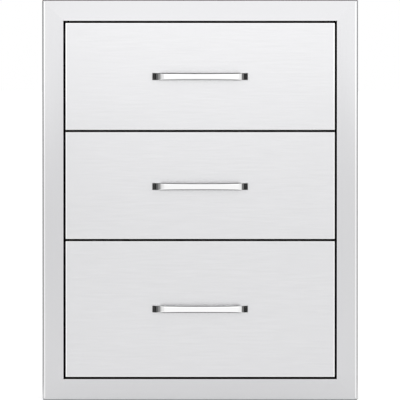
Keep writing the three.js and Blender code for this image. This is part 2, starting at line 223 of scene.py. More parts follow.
class Nodes:
    """A node tree, empty at first."""

    def __init__(self, tree):
        self.tree = tree
        tree.nodes.clear()

    def add(self, kind, settings=None, inputs=None, output=0):
        """A node with its settings made first, and then the values or links of its sockets."""
        node = self.tree.nodes.new(kind)
        for name, setting in (settings or {}).items():
            if name == "stops":
                self.set_stops(node.color_ramp, setting)
            else:
                setattr(node, name, setting)
        for name, given in (inputs or {}).items():
            if isinstance(given, Value):
                self.tree.links.new(given.socket, node.inputs[name])
            else:
                node.inputs[name].default_value = given
        return Value(self, node.outputs[output]) if len(node.outputs) else node

    def set_stops(self, ramp, stops):
        while len(ramp.elements) < len(stops):
            ramp.elements.new(1)
        for element, (place, level) in zip(ramp.elements, stops):
            element.position = place
            element.color = (level, level, level, 1)

    def place(self):
        return self.add("ShaderNodeTexCoord", output="Object")

    def axes(self, vector):
        """The three parts of a vector."""
        node = self.add("ShaderNodeSeparateXYZ", inputs={0: vector}).socket.node
        return [Value(self, socket) for socket in node.outputs]

    def noise(self, vector, sizes, detail):
        """Noise round 0 whose patches have the given sizes in mm along X, Y and Z."""
        scales = [1 / (size * MM) for size in sizes]
        scaled = self.add("ShaderNodeVectorMath", {"operation": "MULTIPLY"}, {0: vector, 1: scales})
        return self.add("ShaderNodeTexNoise", inputs={"Vector": scaled, "Scale": 1, "Detail": detail}) - 0.5

    def ramp(self, value, start, end):
        """0 up to start and 1 from end on."""
        settings = {"interpolation_type": "SMOOTHSTEP"}
        return self.add("ShaderNodeMapRange", settings, {0: value, 1: start, 2: end})

    def beyond(self, x, z, low, high):
        """How far outside the rectangle of those corners a place is, or inside where it is negative."""
        middle, half = (low + high) / 2, (high - low) / 2
        return (abs(x - middle.x) - half.x).largest(abs(z - middle.z) - half.z)

    def choose(self, share, first, second):
        """One colour turning into another."""
        colours = [colour if isinstance(colour, Value) else (*colour, 1) for colour in (first, second)]
        inputs = dict(zip(MIX_SOCKETS, (share, *colours)))
        return self.add("ShaderNodeMix", {"data_type": "RGBA"}, inputs, output=MIX_RESULT)

    def mix(self, share, first, second):
        return first * (1 - share) + second * share


# Finishes

TONE_LEVELS = (0.9, 1.1)  # how dark and how light a tone of -0.1 and of 0.1 makes the colour
TONE_GAIN = 5
# Painted highlight: the white that edge bands are painted towards, and the bands' widths
PAINTED_HIGHLIGHT_WHITE = (1, 1, 1)
EDGE_BAND = 1.9 * MM
EDGE_BAND_FULL = 0.6 * EDGE_BAND


class Layer(NamedTuple):
    """Noise with patches of the given sizes in mm, sharpened between two levels where it has an edge, and
    how much of it goes into the tone, the roughness and the relief."""

    sizes: tuple
    tone: float = 0
    roughness: float = 0
    relief: float = 0
    detail: int = 2
    edge: tuple = ()


class Finish(Nodes):
    """A material whose tone, gloss and fine relief vary over the surface."""

    def __init__(self, name):
        self.material = bpy.data.materials.new(name)
        self.material.use_nodes = True
        super().__init__(self.material.node_tree)

    def layered(self, place, layers):
        """What the layers together bring to the tone, the roughness and the relief."""
        levels = []
        for layer in layers:
            level = self.noise(place, layer.sizes, layer.detail)
            levels.append(self.ramp(level, *layer.edge) if layer.edge else level)
        shares = zip(*((layer.tone, layer.roughness, layer.relief) for layer in layers))
        return [sum(level * share for level, share in zip(levels, part) if share) for part in shares]

    def surface(self, colour, tone, roughness, relief, depth, metal=1, coat=0, painted_highlight=None):
        """The colour is shaded by a tone round 0, and is painted white where the painted highlight mask
        says.
        The relief is as many metres deep as depth says."""
        dark, light = ([min(1, part * level) for part in colour] for level in TONE_LEVELS)
        base = self.choose(tone * TONE_GAIN + 0.5, dark, light)
        bump = self.add("ShaderNodeBump", inputs={"Strength": 1, "Distance": depth, "Height": relief})
        # Where the painted highlight mask says, the base colour is painted white: a painted highlight
        shader = self.add(
            "ShaderNodeBsdfPrincipled",
            inputs={
                "Base Color": base if painted_highlight is None else self.choose(painted_highlight, base, PAINTED_HIGHLIGHT_WHITE),
                "Roughness": roughness,
                "Metallic": metal,
                "Coat Weight": coat,
                "Normal": bump,
            },
        )
        self.add("ShaderNodeOutputMaterial", inputs={"Surface": shader})
        return self.material


FRONT_STEEL = (0.712, 0.712, 0.724)
FRONT_LAYERS = (
    Layer((35, 0.22, 0.22), tone=0.03, roughness=0.1, relief=1),
    Layer((40, 1.8, 1.8), tone=0.095, roughness=0.04),
    Layer((240, 240, 90), tone=0.02, detail=1),
)
FRONT_ROUGHNESS = 0.23
FRONT_RELIEF = 0.004 * MM
FRONT_EDGE_GLOSS = 0.15
# How strongly the fronts' level and upright edges are painted white: a painted highlight
LEVEL_EDGE_PAINTED_HIGHLIGHT = 0.4
UPRIGHT_EDGE_PAINTED_HIGHLIGHT = 0.6


def brushed_front(name, low, high):
    """Brushed from side to side. The folded edges are glossier, and their colour is painted brighter as a
    painted highlight, the upright ones most.
    """
    made = Finish(name)
    place = made.place()
    x, _, z = made.axes(place)
    tone, roughness, relief = made.layered(place, FRONT_LAYERS)
    edge = made.ramp(made.beyond(x, z, low, high), -EDGE_BAND, -EDGE_BAND_FULL)
    upright = abs(x - (low.x + high.x) / 2) > (high.x - low.x) / 2 - EDGE_BAND
    roughness = FRONT_ROUGHNESS + roughness - edge * FRONT_EDGE_GLOSS
    # Painted highlight: the edge band's colour is painted white, most on the upright edges
    painted_highlight = edge * (LEVEL_EDGE_PAINTED_HIGHLIGHT + UPRIGHT_EDGE_PAINTED_HIGHLIGHT * upright)
    return made.surface(FRONT_STEEL, tone, roughness, relief, FRONT_RELIEF, painted_highlight=painted_highlight)


FRAME_STEEL = (0.645, 0.645, 0.657)
FRAME_GRAINS = ((35, 0.22), (78.75, 0.3))  # length and width in mm
FRAME_CLOUD = (120, 120, 160)
FRAME_TONE = 0.012
FRAME_ROUGHNESS = 0.18
FRAME_GRAIN_ROUGHNESS = 0.06
FRAME_CLOUD_ROUGHNESS = 0.02
FRAME_RELIEF = 0.003 * MM
# Bands are measured outwards from the flange's edge, so inside it they are negative
OUTER_BAND_START = (-4.1 * MM, -3.8 * MM)
OUTER_BAND_END = (-2.6 * MM, -2.3 * MM)
# How strongly the bands are painted white: a painted highlight
OUTER_BAND_PAINTED_HIGHLIGHT = 0.65
INNER_BAND_PAINTED_HIGHLIGHT = 0.14


def brushed_frame(low, high):
    """Brushed along each member, with the grain turning at the mitres, and painted brighter in a band along
    the stiles' outer edges and round the opening, a painted highlight."""
    made = Finish("brushed_frame_steel")
    place = made.place()
    x, _, z = made.axes(place)
    middle = (low + high) / 2
    upright = (abs(x - middle.x) - abs(z - middle.z)) > (high.x - middle.x) - (high.z - middle.z)
    grains = []
    for length, width in FRAME_GRAINS:
        lying = made.noise(place, (length, width, width), detail=2)
        standing = made.noise(place, (width, width, length), detail=2)
        grains.append(made.mix(upright, lying, standing))
    cloud = made.noise(place, FRAME_CLOUD, detail=1)
    inset = made.beyond(x, z, low, high)
    outside = made.ramp(inset, *OUTER_BAND_START) - made.ramp(inset, *OUTER_BAND_END)
    inside = 1 - made.ramp(inset, -FLANGE_WIDTH + EDGE_BAND_FULL, -FLANGE_WIDTH + EDGE_BAND)
    tone = (grains[0] + grains[1] + cloud) * FRAME_TONE
    roughness = FRAME_ROUGHNESS + grains[0] * FRAME_GRAIN_ROUGHNESS + cloud * FRAME_CLOUD_ROUGHNESS
    # Painted highlight: the colour is painted white in the bands along the stiles and round the opening
    painted_highlight = outside * upright * OUTER_BAND_PAINTED_HIGHLIGHT + inside * INNER_BAND_PAINTED_HIGHLIGHT
    return made.surface(FRAME_STEEL, tone, roughness, grains[0], FRAME_RELIEF, painted_highlight=painted_highlight)


def plain_finish(name, colour, roughness, depth, layers, metal=1, coat=0):
    """A finish that is the same all over a piece. Its relief's depth is in mm."""
    made = Finish(name)
    tone, uneven, relief = made.layered(made.place(), layers)
    return made.surface(colour, tone, roughness + uneven, relief, depth * MM, metal, coat)


finishes = {
    # Cold-rolled sheet as it comes: satin, lined along the rolling, clouded and smudged by handling
    "sheet_steel": plain_finish(
        "mill_finish_sheet", colour=(0.62, 0.62, 0.63), roughness=0.33, depth=0.005,
        layers=(
            Layer((0.5, 90, 0.5), tone=0.025, roughness=0.08, relief=1),
            Layer((70, 110, 70), tone=0.05, roughness=0.1, relief=2, detail=4),
            Layer((22, 22, 22), tone=-0.012, roughness=0.07, detail=5, edge=(0.08, 0.3)),
            Layer((1.1, 34, 1.1), tone=0.02, detail=1, edge=(0.24, 0.3)),
        ),
    ),
    # Smooth sheet, lined from side to side, with small scratches both ways
    "tray_steel": plain_finish(
        "drawer_tray_steel", colour=(0.68, 0.68, 0.69), roughness=0.3, depth=0.004,
        layers=(
            Layer((80, 0.4, 0.4), tone=0.025, roughness=0.08, relief=1),
            Layer((90, 60, 60), tone=0.035, roughness=0.08, detail=4),
            Layer((26, 0.9, 8), tone=0.03, roughness=-0.05, relief=-1, detail=1, edge=(0.25, 0.3)),
            Layer((0.9, 30, 8), tone=0.03, roughness=-0.05, relief=-1, detail=1, edge=(0.27, 0.32)),
        ),
    ),
    # Bright plating, with only a breath of handling on it
    "chrome": plain_finish(
        "polished_chrome", colour=(0.95, 0.95, 0.955), roughness=0.05, depth=0.0003,
        layers=(
            Layer((18, 18, 18), tone=0.01, detail=4),
            Layer((18, 18, 18), roughness=0.06, detail=4, edge=(0.05, 0.3)),
            Layer((1.2, 0.4, 0.4), relief=1),
        ),
    ),
    # Zinc plating, cool and faintly spangled, with drawing lines along the rails
    "zinc_steel": plain_finish(
        "bright_zinc_plate", colour=(0.6, 0.62, 0.645), roughness=0.27, depth=0.004,
        layers=(
            Layer((0.35, 60, 0.35), tone=0.03, roughness=0.08, relief=1),
            Layer((2.4, 3.5, 2.4), tone=0.05, roughness=0.1, relief=1, detail=3),
            Layer((30, 50, 30), tone=0.05),
        ),
    ),
    # Plated strip under a film of grease
    "cage_steel": plain_finish(
        "greased_cage_steel", colour=(0.5, 0.505, 0.52), roughness=0.33, depth=0.01, coat=0.3,
        layers=(
            Layer((6, 14, 6), tone=0.08, roughness=0.2, relief=2, detail=4),
            Layer((0.4, 0.6, 0.4), tone=0.03, relief=1),
        ),
    ),
    # Stainless fasteners, turned and a little rubbed
    "screw_steel": plain_finish(
        "stainless_fasteners", colour=(0.68, 0.68, 0.7), roughness=0.27, depth=0.004,
        layers=(
            Layer((0.5, 0.2, 0.5), tone=0.03, relief=1, detail=3),
            Layer((2, 2, 2), tone=0.06, roughness=0.16, detail=3),
        ),
    ),
    # Black rubber and plastic with a fine moulded grain
    "bumper_rubber": plain_finish(
        "black_moulding", colour=(0.024, 0.024, 0.026), roughness=0.62, depth=0.02, metal=0,
        layers=(
            Layer((0.35, 0.35, 0.35), tone=0.05, relief=1, detail=3),
            Layer((5, 5, 5), tone=0.08, roughness=0.2, detail=3),
        ),
    ),
}


# Mesh helpers


def only(parts, kind):
    return [part for part in parts if isinstance(part, kind)]


def draw_out(shape, edges, run):
    """Draws new faces from the edges along run, and gives their far points."""
    points = only(bmesh.ops.extrude_edge_only(shape, edges=edges)["geom"], bmesh.types.BMVert)
    bmesh.ops.translate(shape, vec=run, verts=points)
    return points


def strip(path, run):
    """A sheet's middle: the path's points, drawn along run."""
    shape = bmesh.new()
    line = [shape.verts.new(point) for point in path]
    draw_out(shape, [shape.edges.new(pair) for pair in zip(line, line[1:])], run)
    return shape


def prism(corners, run):
    """A closed solid, the face of those corners drawn along run, and the points of its far end."""
    shape = bmesh.new()
    face = shape.faces.new([shape.verts.new(corner) for corner in corners])
    drawn = only(bmesh.ops.extrude_face_region(shape, geom=[face])["geom"], bmesh.types.BMVert)
    bmesh.ops.translate(shape, vec=run, verts=drawn)
    bmesh.ops.recalc_face_normals(shape, faces=shape.faces[:])
    return shape, drawn


def slice_at(shape, place, normal):
    """Divides the faces along a plane."""
    parts = shape.verts[:] + shape.edges[:] + shape.faces[:]
    bmesh.ops.bisect_plane(shape, geom=parts, plane_co=place, plane_no=normal)


def folded_ring(width, depth, path, plate):
    """A rectangle whose four edges are drawn out through the path, each point of which is so far outside
    the rectangle and so high. With plate, the rectangle itself is sheet too."""
    ring = bmesh.new()
    out, level = path[0]
    size = Matrix.Diagonal((width + 2 * out, depth + 2 * out, 1, 1))
    bmesh.ops.create_grid(
        ring, x_segments=1, y_segments=1, size=0.5, matrix=Matrix.Translation((0, 0, level)) @ size
    )
    loop = ring.edges[:]
    if not plate:
        bmesh.ops.delete(ring, geom=ring.faces[:], context="FACES_ONLY")
    for next_out, next_level in path[1:]:
        drawn = bmesh.ops.extrude_edge_only(ring, edges=loop)["geom"]
        ends = only(drawn, bmesh.types.BMVert)
        loop = [edge for edge in only(drawn, bmesh.types.BMEdge) if all(v in ends for v in edge.verts)]
        grown = ((width + 2 * next_out) / (width + 2 * out), (depth + 2 * next_out) / (depth + 2 * out), 1)
        bmesh.ops.scale(ring, vec=grown, verts=ends)
        bmesh.ops.translate(ring, vec=(0, 0, next_level - level), verts=ends)
        out, level = next_out, next_level
    return ring


def creases(shape):
    """The edges where two faces meet at an angle."""
    joined = [edge for edge in shape.edges if len(edge.link_faces) == 2]
    return [edge for edge in joined if edge.calc_face_angle() > EDGE_ANGLE]


def round_off(shape, edges, radius, steps=FOLD_STEPS):
    bmesh.ops.bevel(
        shape, geom=edges, offset=radius, offset_type="OFFSET", segments=steps, profile=0.5,
        affect="EDGES", material=-1, clamp_overlap=True,
    )
    return shape


def stand_up(shape, height):
    """Turns a shape made lying down so that its upper side faces the front, and raises it."""
    shape.transform(Matrix.Translation((0, 0, height)) @ Matrix.Rotation(QUARTER, 4, "X"))
    return shape


def block(low, high, corner=0, steps=2):
    shape = bmesh.new()
    low, high = Vector(low), Vector(high)
    size = Matrix.Diagonal((*(high - low), 1))
    bmesh.ops.create_cube(shape, size=1, matrix=Matrix.Translation((low + high) / 2) @ size)
    if corner:
        round_off(shape, shape.edges[:], corner, steps)
    return shape


def rod(shape, start, end, radius, steps=ROUND_STEPS):
    """A closed cylinder from start to end, added to the shape."""
    start, end = Vector(start), Vector(end)
    turned = (end - start).to_track_quat("Z", "Y").to_matrix().to_4x4()
    bmesh.ops.create_cone(
        shape, cap_ends=True, segments=steps, radius1=radius, radius2=radius, depth=(end - start).length,
        matrix=Matrix.Translation((start + end) / 2) @ turned,
    )


def turned_shape(profile, steps=ROUND_STEPS):
    """A profile in x and z, from axis to axis, spun round Z."""
    shape = bmesh.new()
    line = [shape.verts.new((across, 0, up)) for across, up in profile]
    edges = [shape.edges.new(pair) for pair in zip(line, line[1:])]
    bmesh.ops.spin(
        shape, geom=line + edges, cent=(0, 0, 0), axis=(0, 0, 1), angle=2 * math.pi, steps=steps,
        use_merge=True,
    )
    bmesh.ops.remove_doubles(shape, verts=shape.verts[:], dist=THIN)
    bmesh.ops.recalc_face_normals(shape, faces=shape.faces[:])
    return shape


def as_mesh(shape, name):
    mesh = bpy.data.meshes.new(name)
    shape.to_mesh(mesh)
    shape.free()
    return mesh


def add_copy(shape, mesh, matrix):
    """Adds a placed copy of a mesh to the shape. A mirrored one is turned right side out again."""
    known = len(shape.verts)
    known_faces = len(shape.faces)
    shape.from_mesh(mesh)
    shape.verts.ensure_lookup_table()
    shape.faces.ensure_lookup_table()
    bmesh.ops.transform(shape, matrix=matrix, verts=shape.verts[known:])
    if matrix.determinant() < 0:
        bmesh.ops.reverse_faces(shape, faces=shape.faces[known_faces:])
    return shape


def linked(name, data):
    """A new object of the scene."""
    obj = bpy.data.objects.new(name, data)
    bpy.context.scene.collection.objects.link(obj)
    return obj


def settled(obj):
    """Makes what the object's modifiers show its own mesh."""
    graph = bpy.context.evaluated_depsgraph_get()
    obj.data = bpy.data.meshes.new_from_object(obj.evaluated_get(graph))
    obj.modifiers.clear()


def cut_away(obj, cutter):
    """Cuts the cutter's closed solids out of the object."""
    tool = linked("cutter", as_mesh(cutter, "cutter"))
    cut = obj.modifiers.new("cut", "BOOLEAN")
    cut.operation = "DIFFERENCE"
    cut.solver = "EXACT"
    cut.object = tool
    settled(obj)
    bpy.data.objects.remove(tool)


def loose_object(shape, name, sheet=0, cutter=None):
    """An object made of a shape: given its wall where it is sheet, and cut."""
    obj = linked(name, as_mesh(shape, name))
    if sheet:
        wall = obj.modifiers.new("sheet", "SOLIDIFY")
        wall.thickness = sheet
        wall.offset = 0
        wall.use_even_offset = True
    if cutter:
        cut_away(obj, cutter)
    return obj


def template(shape, name, sheet=0, cutter=None):
    """The finished mesh of something that is copied."""
    obj = loose_object(shape, name, sheet, cutter)
    settled(obj)
    mesh = obj.data
    bpy.data.objects.remove(obj)
    return mesh


def piece(name, shape, slot, body, nodes=(), sheet=0, cutter=None, edge=EDGE_ROUND, finish=None):
    """A finished piece of the unit, which stands for the nodes."""
    obj = loose_object(shape, name, sheet, cutter)
    if edge:
        rounded = obj.modifiers.new("edges", "BEVEL")
        rounded.width = edge
        rounded.segments = EDGE_STEPS
        rounded.limit_method = "ANGLE"
        rounded.angle_limit = EDGE_ANGLE
    obj.modifiers.new("shading", "WEIGHTED_NORMAL")
    obj.data.materials.clear()
    obj.data.materials.append(finish or finishes[slot])
    obj.data.shade_smooth()
    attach(obj, body)
    if nodes:
        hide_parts(*nodes)


# Face frame

face_low, face_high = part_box("face_frame")
neck_rear = face_high.y
face_front = face_low.y
opening_width = face_high.x - face_low.x - 2 * FLANGE_WIDTH
opening_height = face_high.z - face_low.z - 2 * FLANGE_WIDTH
opening_middle = (face_low.z + face_high.z) / 2
side_low, side_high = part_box("side_panel_right")
side_face = side_high.x


def mount_holes():
    """Rods through both sides where the fixing screws of the island pass."""
    holes = bmesh.new()
    reach = side_face + JOIN_FLANGE
    for share in MOUNT_HOLE_SHARES:
        up = opening_middle + (share - 0.5) * opening_height
        rod(holes, (-reach, neck_rear / 2, up), (reach, neck_rear / 2, up), MOUNT_HOLE_RADIUS)
    return holes


def face_frame():
    """One ring of sheet: neck, flange, return and hem, with a relief hole at each corner of the opening."""
    middle = FRAME_SHEET / 2
    path = (
        (middle, -neck_rear),
        (middle, -face_front - middle),
        (FLANGE_WIDTH - middle, -face_front - middle),
        (FLANGE_WIDTH - middle, middle),
        (FLANGE_WIDTH - HEM_WIDTH, middle),
    )
    ring = folded_ring(opening_width, opening_height, path, plate=False)
    outer = [
        edge for edge in creases(ring)
        if any(abs(v.co.x) > opening_width / 2 + FRAME_SHEET for v in edge.verts)
        and any(abs(v.co.y) > opening_height / 2 + FRAME_SHEET for v in edge.verts)
    ]
    round_off(ring, outer, FRAME_BEND + middle)
    stand_up(ring, opening_middle)
    cutter = mount_holes()
    for x in (-opening_width / 2, opening_width / 2):
        for z in (-opening_height / 2, opening_height / 2):
            start = (x, face_front - RELIEF_DEPTH, opening_middle + z)
            end = (x, face_front + RELIEF_DEPTH, opening_middle + z)
            rod(cutter, start, end, RELIEF_RADIUS)
    piece(
        "folded_face_frame", ring, "brushed_steel", "cabinet", ["face_frame"], FRAME_SHEET, cutter,
        FRAME_EDGE, finish=brushed_frame(face_low, face_high),
    )


# Cabinet


def side_wall(name, side):
    """A plate with a flange folded inwards along the rear, notched at both ends."""
    middle = side_face - CABINET_SHEET / 2
    rear = side_high.y - CABINET_SHEET / 2
    flange_end = side_face - CABINET_SHEET - JOIN_FLANGE
    wall = strip([(middle, side_low.y, 0), (middle, rear, 0)], (0, 0, side_high.z))
    for level in (JOIN_NOTCH, side_high.z - JOIN_NOTCH):
        slice_at(wall, (0, 0, level), (0, 0, 1))
    rear_edge = [
        edge for edge in wall.edges
        if all(v.co.y > rear - THIN and JOIN_NOTCH - THIN < v.co.z < side_high.z - JOIN_NOTCH + THIN
               for v in edge.verts)
    ]
    draw_out(wall, rear_edge, (flange_end - middle, 0, 0))
    round_off(wall, creases(wall), CABINET_BEND + CABINET_SHEET / 2)
    if side < 0:
        wall.transform(Matrix.Diagonal((-1, 1, 1, 1)))
    piece(
        f"{name}_cabinet_wall", wall, "sheet_steel", "cabinet", [f"side_panel_{name}"], CABINET_SHEET,
        mount_holes(),
    )


def level_wall(name, node, up):
    """The cabinet's floor, or its roof where up is -1, with flanges at both sides and behind and a tongue
    in front."""
    low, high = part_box(node)
    middle = CABINET_SHEET / 2
    flange = high.x - middle
    reach = flange - middle - CABINET_BEND - CABINET_SHEET - CORNER_GAP
    rear = high.y - middle
    side_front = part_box("lower_slide_outer_rail_left")[0].y
    side_rear = rear - middle - CABINET_BEND - CABINET_SHEET - CORNER_GAP
    plate = strip([(-reach, low.y, 0), (reach, low.y, 0)], (0, rear - low.y, 0))
    for y in (side_front, side_rear):
        slice_at(plate, (0, y, 0), (0, 1, 0))
    for side in SIDES.values():
        side_edge = [
            edge for edge in plate.edges
            if all(v.co.x * side > reach - THIN and side_front - THIN < v.co.y < side_rear + THIN
                   for v in edge.verts)
        ]
        drawn = draw_out(plate, side_edge, (side * (flange - reach), 0, 0))
        side_edge = [edge for edge in plate.edges if all(v in drawn for v in edge.verts)]
        draw_out(plate, side_edge, (0, 0, JOIN_FLANGE - middle))
    rear_edge = [edge for edge in plate.edges if all(v.co.y > rear - THIN for v in edge.verts)]
    draw_out(plate, rear_edge, (0, 0, JOIN_FLANGE - middle))
    round_off(plate, creases(plate), CABINET_BEND + middle)
    start = low.z + middle if up > 0 else high.z - middle
    plate.transform(Matrix.Translation((0, 0, start)) @ Matrix.Diagonal((1, 1, up, 1)))
    piece(name, plate, "sheet_steel", "cabinet", [node], CABINET_SHEET)


def rear_wall():
    low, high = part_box("back_panel")
    piece("rear_cabinet_wall", block(low, high), "sheet_steel", "cabinet", ["back_panel"])


def rivet_mesh():
    """A dome rivet with the dimple that its pin leaves."""
    profile = [(across * RIVET_RADIUS, up * RIVET_HEIGHT) for across, up in RIVET_DOME]
    profile += [(RIVET_PIN_SHARE * RIVET_RADIUS, -RIVET_HEIGHT), (0, -RIVET_HEIGHT)]
    return as_mesh(turned_shape(profile, RIVET_STEPS), "rivet")


def spread(start, end, pitch):
    """Places from start to end, evenly, about a pitch apart."""
    count = max(1, round((end - start) / pitch))
    return [start + (end - start) * i / count for i in range(count + 1)]


def cabinet_rivets():
    """Rivets through the flanges of the roof, the floor and the back, and through the outer rails."""
    rivet = rivet_mesh()
    height = side_high.z
    row_ups = (RIVET_ROW, height - RIVET_ROW)
    rails = [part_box(f"{drawer}_slide_outer_rail_right") for drawer in DRAWERS]
    rail_low, rail_high = rails[0]
    rail_ups = [(low.z + high.z) / 2 for low, high in rails]
    rail_along = [rail_low.y + share * (rail_high.y - rail_low.y) for share in RAIL_SCREW_SHARES]
    along = spread(rail_low.y + RIVET_PITCH / 4, side_high.y - RIVET_PITCH / 2, RIVET_PITCH)
    places = [(y, z) for z in row_ups for y in along] + [(y, z) for z in rail_ups for y in rail_along]
    for name, side in SIDES.items():
        shape = bmesh.new()
        turn = Matrix.Rotation(side * QUARTER, 4, "Y")
        for y, z in places:
            add_copy(shape, rivet, Matrix.Translation((side * side_face, y, z)) @ turn)
        piece(f"{name}_wall_rivets", shape, "screw_steel", "cabinet", edge=0)
    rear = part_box("back_panel")[1].y
    across = side_face - CABINET_SHEET - JOIN_FLANGE / 2
    ups = spread(RIVET_CLEARANCE, height - RIVET_CLEARANCE, RIVET_PITCH)
    row = spread(-across + JOIN_FLANGE, across - JOIN_FLANGE, RIVET_PITCH)
    places = [(side * across, z) for side in SIDES.values() for z in ups]
    places += [(x, z) for z in row_ups for x in row]
    shape = bmesh.new()
    turn = Matrix.Rotation(-QUARTER, 4, "X")
    for x, z in places:
        add_copy(shape, rivet, Matrix.Translation((x, rear, z)) @ turn)
    piece("rear_wall_rivets", shape, "screw_steel", "cabinet", edge=0)


# Slides


def slide_place(drawer, side):
    """Where a slide's own frame lies. It is mirrored on the right, so that x runs inwards there too."""
    low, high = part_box(f"{drawer}_slide_outer_rail_{'right' if side > 0 else 'left'}")
    wall = high.x if side > 0 else low.x
    return Matrix.Translation((wall, low.y, (low.z + high.z) / 2)) @ Matrix.Diagonal((-side, 1, 1, 1))


def in_slide(node):
    """A left slide's node in the slide's own frame."""
    low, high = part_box(node)
    back = slide_place("lower", -1).inverted()
    return back @ low, back @ high


def rail_mesh(kind, sheet, hollow_inwards):
    """A channel with lips along its flanges, holed for its screws."""
    low, high = in_slide(f"lower_slide_{kind}_rail_left")
    middle = sheet / 2
    web, reach = (low.x + middle, high.x - middle) if hollow_inwards else (high.x - middle, low.x + middle)
    lip = RAIL_LIPS[kind] - middle
    half = high.z - (middle if hollow_inwards else lip)
    lip_end = half - lip if hollow_inwards else half + lip
    side = [(reach, low.y, lip_end), (reach, low.y, half), (web, low.y, half)]
    path = side + [(x, y, -z) for x, y, z in reversed(side)]
    shape = strip(path, (0, high.y - low.y, 0))
    round_off(shape, creases(shape), RAIL_BEND + middle)
    holes = bmesh.new()
    for share in RAIL_HOLE_SHARES:
        y = low.y + share * (high.y - low.y)
        rod(holes, (low.x - sheet, y, 0), (high.x + sheet, y, 0), RAIL_HOLE_RADIUS, RAIL_HOLE_STEPS)
    return template(shape, f"{kind}_rail", sheet, holes)


def cage_mesh(kind):
    """A retainer strip with a full row of balls along each of its two arms."""
    low, high = in_slide(f"lower_{kind}_ball_cage_left")
    middle = CAGE_SHEET / 2
    race = high.z - BALL_RADIUS
    web, reach = low.x + middle, high.x
    path = [(reach, low.y, race), (web, low.y, race), (web, low.y, -race), (reach, low.y, -race)]
    arms = strip(path, (0, high.y - low.y, 0))
    round_off(arms, creases(arms), CAGE_BEND + middle)
    shape = bmesh.new()
    shape.from_mesh(template(arms, "retainer", CAGE_SHEET))
    across = (low.x + high.x) / 2 + CAGE_SHEET
    for y in spread(low.y + 2 * BALL_RADIUS, high.y - 2 * BALL_RADIUS, BALL_PITCH):
        for z in (-race, race):
            bmesh.ops.create_uvsphere(
                shape, u_segments=BALL_SEGMENTS, v_segments=BALL_RINGS, radius=BALL_RADIUS,
                matrix=Matrix.Translation((across, y, z)),
            )
    return as_mesh(shape, f"{kind}_cage")


def bumper_mesh():
    """A rubber stop with a stem and three soft ribs."""
    low, high = in_slide("lower_slide_bumper_left")
    rail_low, rail_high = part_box("lower_slide_outer_rail_left")
    half = (rail_high.z - rail_low.z) / 2 - RAIL_LIPS["outer"] - CAGE_SHEET / 2
    shape = block((low.x, low.y + BUMPER_SETBACK, -half), (high.x, high.y, half), BUMPER_CORNER)
    stem_low, stem_high = (low.x, (low.y + high.y) / 2, low.z), (high.x - STEM_SETBACK, high.y, high.z)
    added = [block(stem_low, stem_high, STEM_CORNER)]
    for share in RIB_SHARES:
        rib_low = (low.x + RIB_INSET, low.y, share * half - RIB_HALF)
        rib_high = (high.x - RIB_INSET, low.y + RIB_DEPTH, share * half + RIB_HALF)
        added.append(block(rib_low, rib_high, RIB_CORNER))
    for part in added:
        add_copy(shape, as_mesh(part, "rubber"), Matrix.Identity(4))
    return as_mesh(shape, "bumper")


def lever_mesh():
    """The thin spring lever in the inner rail's hollow that frees the drawer from its slide."""
    rail_low, rail_high = in_slide("lower_slide_inner_rail_left")
    start = rail_low.y + LEVER_START_SHARE * (rail_high.y - rail_low.y)
    across = rail_high.x - MEMBER_SHEET - LEVER_GAP
    corners = [(across, start + y * MM, z * MM) for y, z in LEVER_OUTLINE]
    shape, _ = prism(corners, (-LEVER_THICKNESS, 0, 0))
    round_off(shape, shape.edges[:], LEVER_CORNER, steps=2)
    return as_mesh(shape, "release_lever")


def slides():
    """Each drawer's two slides: rails, cages, bumper and release lever."""
    outer_rail = rail_mesh("outer", OUTER_SHEET, True)
    middle_rail = rail_mesh("middle", MEMBER_SHEET, True)
    inner_rail = rail_mesh("inner", MEMBER_SHEET, False)
    parts = {
        "outer_rail": (outer_rail, "slide_outer_rail", "zinc_steel", "cabinet"),
        "middle_rail": (middle_rail, "slide_middle_rail", "zinc_steel", "{}_middle_rails"),
        "inner_rail": (inner_rail, "slide_inner_rail", "zinc_steel", "{}_drawer"),
        "outer_cage": (cage_mesh("outer"), "outer_ball_cage", "cage_steel", "{}_outer_cages"),
        "inner_cage": (cage_mesh("inner"), "inner_ball_cage", "cage_steel", "{}_inner_cages"),
        "rail_bumper": (bumper_mesh(), "slide_bumper", "bumper_rubber", "cabinet"),
        "release_lever": (lever_mesh(), None, "bumper_rubber", "{}_drawer"),
    }
    for drawer in DRAWERS:
        for name, side in SIDES.items():
            place = slide_place(drawer, side)
            for part, (mesh, node, slot, body) in parts.items():
                shape = add_copy(bmesh.new(), mesh, place)
                nodes = [f"{drawer}_{node}_{name}"] if node else []
                piece(f"{drawer}_{name}_{part}", shape, slot, body.format(drawer), nodes, edge=0)


# Drawers


def front_pan(drawer):
    """A flat front folded back along all four edges and turned in behind."""
    node = f"{drawer}_drawer_front"
    low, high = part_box(node)
    middle = FRONT_SHEET / 2
    path = ((-middle, -low.y - middle), (-middle, -high.y + middle), (-FRONT_LIP, -high.y + middle))
    pan = folded_ring(high.x - low.x, high.z - low.z, path, plate=True)
    stand_up(pan, (low.z + high.z) / 2)
    piece(
        f"{drawer}_front_pan", pan, "brushed_steel", f"{drawer}_drawer", [node], FRONT_SHEET,
        edge=FRONT_EDGE, finish=brushed_front(f"brushed_{drawer}_front", low, high),
    )


def liner(drawer):
    node = f"{drawer}_drawer_liner"
    low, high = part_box(node)
    piece(f"{drawer}_front_liner", block(low, high), "tray_steel", f"{drawer}_drawer", [node])


